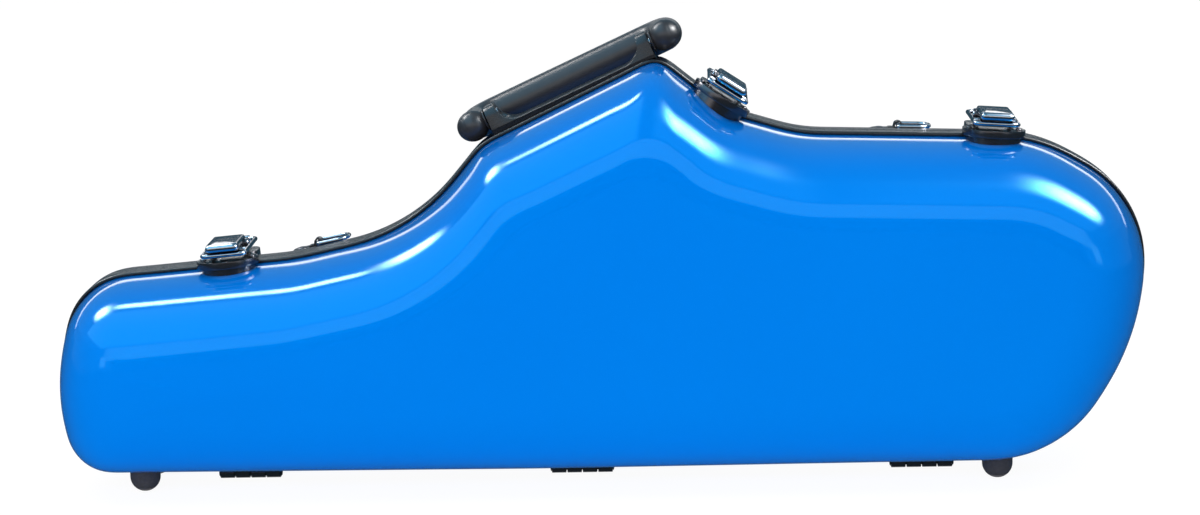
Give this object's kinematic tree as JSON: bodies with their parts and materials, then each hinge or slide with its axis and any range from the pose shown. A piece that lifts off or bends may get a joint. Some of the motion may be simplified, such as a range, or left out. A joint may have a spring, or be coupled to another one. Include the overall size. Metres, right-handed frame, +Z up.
{
  "type": "alto saxophone case",
  "caption": "Shaped hard-shell alto saxophone case with draw latches, butt hinges, a folding rubber handle, strap rings, rubber feet and a moulded plush lining.",
  "frame": {"origin": "middle of the case's footprint, on the floor under its feet", "axes": "+X along the case from the narrow neck end to the wide bell end, +Y from the lid to the rear shell, +Z up with the case standing on its hinge edge"},
  "size_m": [0.6502, 0.164, 0.2755],
  "materials": {
    "blue_shell": "gloss",
    "rim_profile": "satin",
    "seal_rubber": "matte",
    "plush": "matte",
    "foot_rubber": "matte",
    "grip_rubber": "satin",
    "black_steel": "gloss",
    "dark_chrome": "polished"
  },
  "bodies": {
    "base": {"rear_shell": "blue_shell", "rear_rim": "rim_profile", "rear_lining": "plush", "seam_seal": "seal_rubber", "rear_foot_left": "foot_rubber", "rear_foot_right": "foot_rubber", "rear_hinge_leaf_left": "black_steel", "rear_hinge_leaf_middle": "black_steel", "rear_hinge_leaf_right": "black_steel", "hinge_pin_left": "black_steel", "hinge_pin_middle": "black_steel", "hinge_pin_right": "black_steel", "keeper_left": "black_steel", "keeper_middle": "black_steel", "keeper_right": "black_steel", "handle_bracket": "rim_profile", "handle_pin_left": "dark_chrome", "handle_pin_right": "dark_chrome", "ring_saddle_left": "black_steel", "ring_saddle_right": "black_steel"},
    "lid": {"front_shell": "blue_shell", "front_rim": "rim_profile", "front_lining": "plush", "front_foot_left": "foot_rubber", "front_foot_right": "foot_rubber", "front_hinge_leaf_left": "black_steel", "front_hinge_leaf_middle": "black_steel", "front_hinge_leaf_right": "black_steel", "latch_base_left": "black_steel", "latch_base_middle": "black_steel", "latch_base_right": "black_steel", "latch_pin_left": "dark_chrome", "latch_pin_middle": "dark_chrome", "latch_pin_right": "dark_chrome"},
    "lever_left": {"latch_lever_left": "dark_chrome"},
    "lever_middle": {"latch_lever_middle": "dark_chrome"},
    "lever_right": {"latch_lever_right": "dark_chrome"},
    "bail_left": {"latch_bail_left": "dark_chrome"},
    "bail_middle": {"latch_bail_middle": "dark_chrome"},
    "bail_right": {"latch_bail_right": "dark_chrome"},
    "handle": {"handle_grip": "grip_rubber"},
    "ring_left": {"strap_ring_left": "dark_chrome"},
    "ring_right": {"strap_ring_right": "dark_chrome"}
  },
  "joints": [
    {"name": "lid_hinge", "type": "hinge", "parent": "base", "child": "lid", "pos_m": [0, 0, 0.0044], "axis": [1, 0, 0], "range_deg": [0, 150]},
    {"name": "lever_left_pivot", "type": "hinge", "parent": "lid", "child": "lever_left", "pos_m": [-0.22034, -0.005, 0.14641], "axis": [-0.9967, 0, -0.0811], "range_deg": [0, 110]},
    {"name": "lever_middle_pivot", "type": "hinge", "parent": "lid", "child": "lever_middle", "pos_m": [0.08016, -0.005, 0.23735], "axis": [-0.8333, 0, 0.5528], "range_deg": [0, 110]},
    {"name": "lever_right_pivot", "type": "hinge", "parent": "lid", "child": "lever_right", "pos_m": [0.23565, -0.005, 0.21529], "axis": [-0.9974, 0, 0.0719], "range_deg": [0, 110]},
    {"name": "bail_left_pivot", "type": "hinge", "parent": "lever_left", "child": "bail_left", "pos_m": [-0.22023, -0.02, 0.14502], "axis": [-0.9967, 0, -0.0811], "range_deg": [-121.5, 0]},
    {"name": "bail_middle_pivot", "type": "hinge", "parent": "lever_middle", "child": "bail_middle", "pos_m": [0.07938, -0.02, 0.23618], "axis": [-0.8333, 0, 0.5528], "range_deg": [-121.5, 0]},
    {"name": "bail_right_pivot", "type": "hinge", "parent": "lever_right", "child": "bail_right", "pos_m": [0.23555, -0.02, 0.21389], "axis": [-0.9974, 0, 0.0719], "range_deg": [-121.5, 0]},
    {"name": "handle_pivot", "type": "hinge", "parent": "base", "child": "handle", "pos_m": [-0.01463, 0.003, 0.24007], "axis": [0.9113, 0, 0.4116], "range_deg": [0, 185]},
    {"name": "ring_left_pivot", "type": "hinge", "parent": "base", "child": "ring_left", "pos_m": [-0.16967, 0.02, 0.14299], "axis": [0, -1, 0], "range_deg": [0, 180]},
    {"name": "ring_right_pivot", "type": "hinge", "parent": "base", "child": "ring_right", "pos_m": [0.1815, 0.02, 0.20745], "axis": [0, -1, 0], "range_deg": [0, 180]}
  ],
  "couplings": [
    {"joint": "bail_left_pivot", "follows": "lever_left_pivot", "ratio": -1.1},
    {"joint": "bail_middle_pivot", "follows": "lever_middle_pivot", "ratio": -1.1},
    {"joint": "bail_right_pivot", "follows": "lever_right_pivot", "ratio": -1.1}
  ]
}
